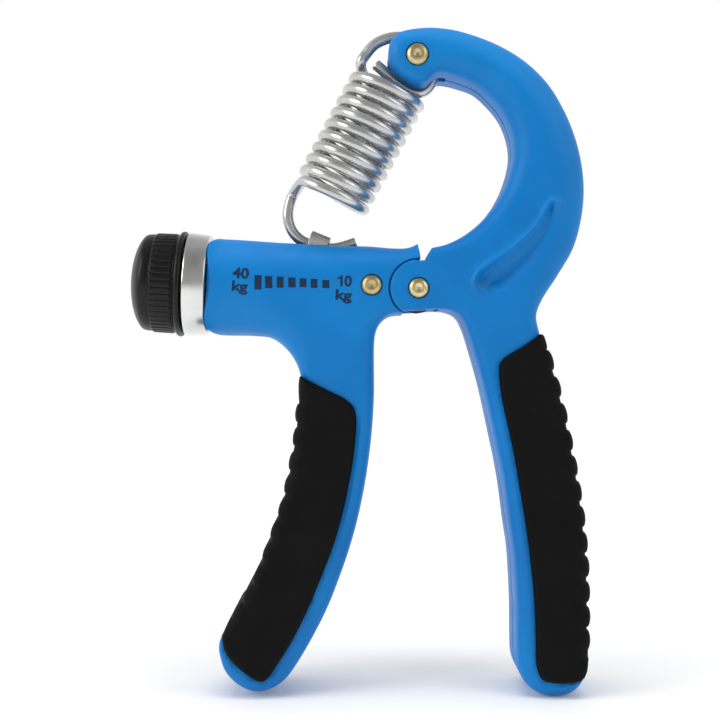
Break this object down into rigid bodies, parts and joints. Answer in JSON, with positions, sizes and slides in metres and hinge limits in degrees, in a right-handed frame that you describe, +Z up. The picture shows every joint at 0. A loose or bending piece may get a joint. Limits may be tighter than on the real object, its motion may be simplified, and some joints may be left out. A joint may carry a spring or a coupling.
{
  "type": "hand grip strengthener",
  "caption": "Two hinged handles with ridged rubber grips, a hooked rear arm and a coil spring whose tension a threaded knob sets.",
  "frame": {"origin": "middle of the overall width and thickness, at the level of the handle ends", "axes": "+X across the two handles from the knob to the rear grip, +Y through the thickness, +Z up from the handle ends to the rear arm's head"},
  "size_m": [0.1074, 0.025, 0.156],
  "materials": {
    "front_plastic_near": "satin moulded blue",
    "front_plastic_far": "satin moulded blue",
    "rear_plastic_near": "satin moulded blue",
    "rear_plastic_far": "satin moulded blue",
    "front_rubber": "soft matt black",
    "rear_rubber": "soft matt black",
    "knob_plastic": "satin black, ribbed rim",
    "collar_steel": "bright plated band",
    "rivet_brass": "pale brass, dimpled heads",
    "turned_brass": "as turned",
    "plated_steel": "bright zinc",
    "sheet_steel": "pressed and plated",
    "spring_wire": "bright plated wire",
    "nylon": "natural nylon"
  },
  "bodies": {
    "front_body": {"front_shell_near": "front_plastic_near", "front_shell_far": "front_plastic_far", "front_grip_pad": "front_rubber", "barrel_collar": "collar_steel", "barrel_rivet": "rivet_brass", "pivot_rivet": "rivet_brass", "screw_end_bush": "nylon", "screw_front_bush": "turned_brass", "pivot_washer_near": "nylon", "pivot_washer_far": "nylon"},
    "knob": {"knob_cap": "knob_plastic", "knob_insert": "turned_brass", "adjusting_screw": "plated_steel", "retaining_clip": "plated_steel", "thrust_washer": "plated_steel"},
    "carriage": {"carriage_nut": "turned_brass", "hook_pin": "plated_steel"},
    "stirrup": {"hook_stirrup": "sheet_steel"},
    "spring_foot": {"spring_lower_hook": "spring_wire"},
    "spring_low": {"spring_lower_coil": "spring_wire"},
    "spring_mid": {"spring_upper_coil": "spring_wire"},
    "spring_high": {"spring_upper_hook": "spring_wire"},
    "rear_body": {"rear_shell_near": "rear_plastic_near", "rear_shell_far": "rear_plastic_far", "rear_grip_pad": "rear_rubber", "head_rivet": "rivet_brass", "head_bush": "turned_brass"}
  },
  "joints": [
    {"name": "handle_squeeze", "type": "hinge", "parent": "front_body", "child": "rear_body", "pos_m": [0.01402, 0, 0.0944], "axis": [0, 1, 0], "range_deg": [0, 30], "stiffness_Nm_per_rad": 1, "springref_deg": -17.19},
    {"name": "knob_turn", "type": "hinge", "parent": "front_body", "child": "knob", "pos_m": [-0.04053, 0, 0.09579], "axis": [-0.9986, 0, 0.0523], "range_deg": [-4354.8, 294]},
    {"name": "carriage_travel", "type": "slide", "parent": "front_body", "child": "carriage", "axis": [0.9986, 0, -0.0523], "range_m": [-0.0151, 0.001]},
    {"name": "stirrup_lean", "type": "hinge", "parent": "carriage", "child": "stirrup", "pos_m": [-0.01128, 0, 0.1006], "axis": [0, 1, 0], "range_deg": [0, 24.37]},
    {"name": "hook_swing", "type": "hinge", "parent": "stirrup", "child": "spring_foot", "pos_m": [-0.00896, 0, 0.10635], "axis": [0, 1, 0], "range_deg": [-1.1, 14.31]},
    {"name": "spring_stretch_low", "type": "slide", "parent": "spring_foot", "child": "spring_low", "axis": [0.465, 0, 0.8853], "range_m": [-0.0003, 0.00411], "deforming": ["spring_lower_coil"]},
    {"name": "spring_stretch_mid", "type": "slide", "parent": "spring_low", "child": "spring_mid", "axis": [0.465, 0, 0.8853], "range_m": [0, 0.01214], "deforming": ["spring_upper_coil"]},
    {"name": "spring_stretch_high", "type": "slide", "parent": "spring_mid", "child": "spring_high", "axis": [0.465, 0, 0.8853], "range_m": [-0.0003, 0.00411], "deforming": ["spring_upper_hook"]}
  ],
  "couplings": [
    {"joint": "knob_turn", "follows": "carriage_travel", "rad_per_m": 5026.5},
    {"joint": "hook_swing", "follows": "carriage_travel", "rad_per_m": -16.479},
    {"joint": "stirrup_lean", "follows": "handle_squeeze", "ratio": 0.81057},
    {"joint": "spring_stretch_low", "follows": "carriage_travel", "ratio": -0.27092},
    {"joint": "spring_stretch_mid", "follows": "handle_squeeze", "m_per_rad": 0.023155},
    {"joint": "spring_stretch_high", "follows": "carriage_travel", "ratio": -0.27092}
  ]
}
